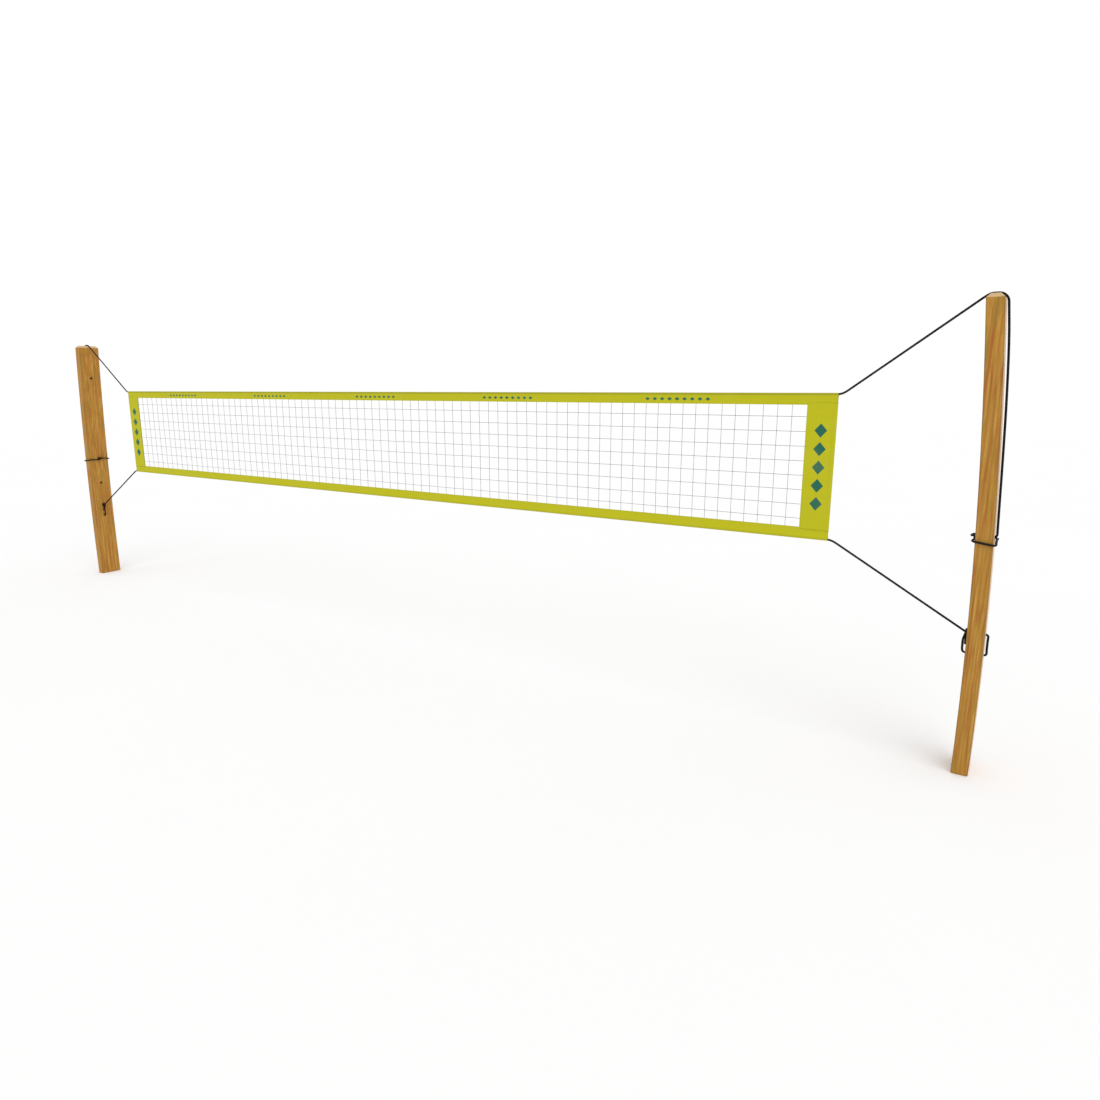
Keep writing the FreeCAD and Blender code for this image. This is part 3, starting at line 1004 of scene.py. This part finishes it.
class BEACHNET_OT_netting(bpy.types.Operator):
    """Knot the netting"""
    bl_idname = "beachnet.netting"
    bl_label = "Netting"

    def execute(self, context):
        looks = context.scene.net_twine
        twine = strand_material("twine", looks.twine, around=1, along=1400, crossing=0, roughness=0.7)
        piece = knotted_netting(looks).piece("netting", twine, "netting")
        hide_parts("net_mesh")
        return {"FINISHED"}


class BEACHNET_OT_bands(bpy.types.Operator):
    """Fold and sew the four bands"""
    bl_idname = "beachnet.bands"
    bl_label = "Bands"

    def execute(self, context):
        looks = context.scene.net_bands
        cloth = cloth_material(looks)
        thread = strand_material("sewing_thread", looks.thread, around=1, along=2600, crossing=0,
                                 roughness=0.6, shadow=0.3)
        for band, node in zip(level_bands(), ("top_band", "bottom_band")):
            dress_band(band, cloth, thread, node)
        for band, node in zip(side_bands(), ("left_side_band", "right_side_band")):
            dress_band(band, cloth, thread, node)
        return {"FINISHED"}


class BEACHNET_OT_ropes(bpy.types.Operator):
    """Braid the head line and the foot line and whip their ends"""
    bl_idname = "beachnet.ropes"
    bl_label = "Ropes"

    def execute(self, context):
        looks = context.scene.net_rope
        braid = strand_material("rope_braid", looks.colour, around=looks.plaits,
                                along=math.tau / looks.plait, crossing=1, roughness=0.62)
        binding = strand_material("whipping_twine", looks.whipping, around=0, along=5200, crossing=0,
                                  roughness=0.5)
        lay_rope("head_rope", head_route(), "head_line", braid, binding, looks)
        lay_rope("foot_rope", foot_route(), "foot_line", braid, binding, looks)
        return {"FINISHED"}


class BEACHNET_OT_stage(bpy.types.Operator):
    """Set the floor, the light and the camera"""
    bl_idname = "beachnet.stage"
    bl_label = "Stage"

    def execute(self, context):
        looks = context.scene.net_stage
        lay_floor(looks)
        light_stage(looks)
        set_camera(context.scene)
        return {"FINISHED"}


def finish_node(node, material):
    """Gives a CAD piece its material."""
    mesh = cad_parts[node].data
    mesh.materials.clear()
    mesh.materials.append(material)


def knot_place(column, row, columns, rows, looks):
    """Where a knot of the netting sits. The first and last lie inside the bands."""
    low, high = NET_BOTTOM + BAND_HEIGHT, NET_TOP - BAND_HEIGHT
    x = -NET_INSIDE - TWINE_TUCK if column == 0 else NET_INSIDE + TWINE_TUCK
    if 0 < column < columns:
        x = -NET_INSIDE + column * looks.cell
    z = low - TWINE_TUCK if row == 0 else high + TWINE_TUCK
    if 0 < row < rows:
        z = low - CELL_HIDDEN + row * looks.cell
    if 0 < column < columns and 0 < row < rows:
        x += looks.knot_drift * noise.noise(Vector((column * 0.73, row * 0.91, 1.0)))
        z += looks.knot_drift * noise.noise(Vector((column * 0.67, row * 0.83, 7.0)))
    return Vector((x, belly(x, z), z))


def twine_run(places):
    """A strand through its knots, a little loose between them."""
    line = []
    for before, after in zip(places, places[1:]):
        for step in range(4):
            share = step / 4
            point = before.lerp(after, share)
            loose = TWINE_SLACK * math.sin(math.pi * share)
            point += Vector((loose, TWINE_OFFSET, -loose)) * noise.noise(before * 31.0)
            line.append(point)
    return line + [places[-1]]


def add_strand(shape, line, radius):
    """One strand of twine."""
    run = lengths_along(line)
    shape.sweep(tube_rings(line, run, 6, lambda angle, distance: radius), run)


def add_knot(shape, centre, radius):
    """A sheet bend, as two small bights that hold each other."""
    bight, thickness, steps = radius * 1.15, radius * 0.85, 9
    for lean, tilt in ((0.7, 0.5), (-0.7, -0.5)):
        axis = Vector((math.sin(lean), math.cos(lean) * math.cos(tilt), math.sin(tilt))).normalized()
        side = axis.orthogonal().normalized()
        other = axis.cross(side)
        rings = []
        for out in [turned(side, other, angle) for angle in angles_round(steps)]:
            place = centre + out * bight
            rings.append([place + turned(out, axis, angle) * thickness for angle in angles_round(5)])
        shape.sweep(rings + [rings[0]], [0.004 * step for step in range(steps + 1)])


def knotted_netting(looks):
    """Upright and level strands with a knot where they cross."""
    shape = Shape()
    columns = round(2 * NET_INSIDE / looks.cell)
    rows = round((NET_TOP - NET_BOTTOM - 2 * BAND_HEIGHT) / looks.cell) + 1
    radius = looks.thickness / 2
    grid = [[knot_place(column, row, columns, rows, looks) for row in range(rows + 1)]
            for column in range(columns + 1)]
    for column in range(1, columns):
        add_strand(shape, twine_run(grid[column]), radius)
    for row in range(1, rows):
        add_strand(shape, twine_run([upright[row] for upright in grid]), radius)
    for column in range(1, columns):
        for row in range(1, rows):
            add_knot(shape, grid[column][row], radius)
    return shape


def lay_rope(name, route, node, braid, binding, looks):
    """A rope along its route, with a whipping at each end."""
    line = smooth_line(name + "_line", both_ends(route))
    hidden, hidden_step = HALF_NET - 0.05, 0.05

    def step_at(place):
        return hidden_step if abs(place.x) < hidden else looks.plait / 4.5

    line, distances = stations(line, step_at)
    radius, whole = looks.diameter / 2, distances[-1]
    pitch = math.tau / looks.plait
    tip_share, tip_length = 0.72, 0.003

    def radius_at(angle, distance):
        one = math.sin(looks.plaits * angle + pitch * distance)
        other = math.sin(looks.plaits * angle - pitch * distance)
        end = min(distance, whole - distance)
        closing = min(1.0, tip_share + (1 - tip_share) * end / tip_length)
        return radius * closing * (1 - looks.relief / 2 + looks.relief * max(one, other))

    shape = Shape()
    sides = 4 * looks.plaits
    rings = tube_rings(line, distances, sides, radius_at)
    base = shape.sweep(rings, distances)
    shape.dome(base, sides, line[0], 0)
    shape.dome(base + (len(rings) - 1) * sides, sides, line[-1], whole)
    rope = shape.piece(name, braid, "rope")
    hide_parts(node)
    ends = [
        whipping(name + "_left_whipping", line, distances, binding, radius),
        whipping(name + "_right_whipping", line[::-1], [whole - at for at in reversed(distances)],
                 binding, radius),
    ]


def whipping(name, line, distances, binding, radius):
    """Turns of thin twine bound round a rope's end to stop it fraying."""
    finish, beyond = WHIPPING_START + WHIPPING_LENGTH, 0.004
    near = [point for point, at in zip(line, distances) if at <= finish + beyond]
    kept = [(place, at) for place, at in zip(*stations(near, lambda place: WHIPPING_STEP))
            if WHIPPING_START <= at <= finish]
    places, run = zip(*kept)
    relief = 0.0006

    def radius_at(angle, distance):
        share = (distance - WHIPPING_START) / WHIPPING_LENGTH
        ends = min(1.0, 12 * share, 12 * (1 - share))
        turn = abs(math.cos(math.pi * distance / WHIPPING_TURN + angle / 2))
        return radius * 0.98 + relief * max(ends, 0.0) * (0.35 + 0.65 * turn)

    shape = Shape()
    shape.sweep(tube_rings(places, run, 20, radius_at), run)
    return shape.piece(name, binding, "rope")


def lay_floor(looks):
    """A broad pale floor, a little below the soles of the posts."""
    mesh = bpy.data.meshes.new("floor")
    reach = 60.0
    corners = [(-reach, -reach, 0), (reach, -reach, 0), (reach, reach, 0), (-reach, reach, 0)]
    mesh.from_pydata(corners, [], [(0, 1, 2, 3)])
    mesh.materials.append(floor_material(looks.floor))
    floor = bpy.data.objects.new("floor", mesh)
    bpy.context.scene.collection.objects.link(floor)


def light_stage(looks):
    """Even light from all round, one very soft lamp, and a white background for the camera."""
    world = bpy.data.worlds.new("studio")
    bpy.context.scene.world = world
    world.use_nodes = True
    tree = world.node_tree
    light = tree.nodes["Background"]
    light.inputs["Color"].default_value = (1, 1, 1, 1)
    light.inputs["Strength"].default_value = looks.sky
    shown = put(tree, "ShaderNodeBackground", {"Color": (1, 1, 1, 1), "Strength": 1.0})
    rays = put(tree, "ShaderNodeLightPath").outputs
    mirrored = maths(tree, "MAXIMUM", rays["Is Glossy Ray"], rays["Is Transmission Ray"])
    seen = maths(tree, "MAXIMUM", rays["Is Camera Ray"], mirrored)
    both = put(tree, "ShaderNodeMixShader", {0: seen, 1: light.outputs[0], 2: shown.outputs[0]})
    tree.links.new(both.outputs[0], tree.nodes["World Output"].inputs["Surface"])
    lamp = bpy.data.lights.new("soft_sun", "SUN")
    lamp.energy = looks.sun
    lamp.angle = math.radians(LAMP_WIDTH)
    sun = bpy.data.objects.new("soft_sun", lamp)
    sun.rotation_euler = Vector(LAMP_FROM).to_track_quat("Z", "Y").to_euler()
    bpy.context.scene.collection.objects.link(sun)


def set_camera(scene):
    """The view of the photograph: from beside the right-hand post, at the height of the net's top."""
    data = bpy.data.cameras.new("camera")
    data.sensor_width = CAMERA_SENSOR
    data.lens = CAMERA_LENS
    camera = bpy.data.objects.new("camera", data)
    camera.location = CAMERA_PLACE
    camera.rotation_euler = [math.radians(angle) for angle in CAMERA_TURN]
    scene.collection.objects.link(camera)
    scene.camera = camera
    scene.view_settings.view_transform = "Standard"


STEPS = (
    BEACHNET_OT_node_groups,
    BEACHNET_OT_posts,
    BEACHNET_OT_battens,
    BEACHNET_OT_netting,
    BEACHNET_OT_bands,
    BEACHNET_OT_ropes,
    BEACHNET_OT_stage,
)


class BEACHNET_PT_sidebar(bpy.types.Panel):
    """Lists the steps that dress the net, and their sizes and colours"""
    bl_label = "Beach Net"
    bl_idname = "BEACHNET_PT_sidebar"
    bl_space_type = "VIEW_3D"
    bl_region_type = "UI"
    bl_category = "Beach Net"

    def draw(self, context):
        for step in STEPS:
            self.layout.operator(step.bl_idname)
        for name in LOOKS:
            box = self.layout.box()
            looks = getattr(context.scene, name)
            for field in looks.bl_rna.properties:
                if not field.is_readonly and field.identifier != "name":
                    box.prop(looks, field.identifier)


LOOKS = {
    "net_timber": TimberLooks,
    "net_bands": BandLooks,
    "net_twine": NettingLooks,
    "net_rope": RopeLooks,
    "net_stage": StageLooks,
}


def register():
    for name, looks in LOOKS.items():
        bpy.utils.register_class(looks)
        setattr(bpy.types.Scene, name, PointerProperty(type=looks))
    for step in STEPS:
        bpy.utils.register_class(step)
    bpy.utils.register_class(BEACHNET_PT_sidebar)


def unregister():
    bpy.utils.unregister_class(BEACHNET_PT_sidebar)
    for step in reversed(STEPS):
        bpy.utils.unregister_class(step)
    for name, looks in LOOKS.items():
        delattr(bpy.types.Scene, name)
        bpy.utils.unregister_class(looks)


def main():
    register()
    bpy.ops.beachnet.node_groups()
    bpy.ops.beachnet.posts()
    bpy.ops.beachnet.battens()
    bpy.ops.beachnet.netting()
    bpy.ops.beachnet.bands()
    bpy.ops.beachnet.ropes()
    bpy.ops.beachnet.stage()


if __name__ == "__main__":
    main()
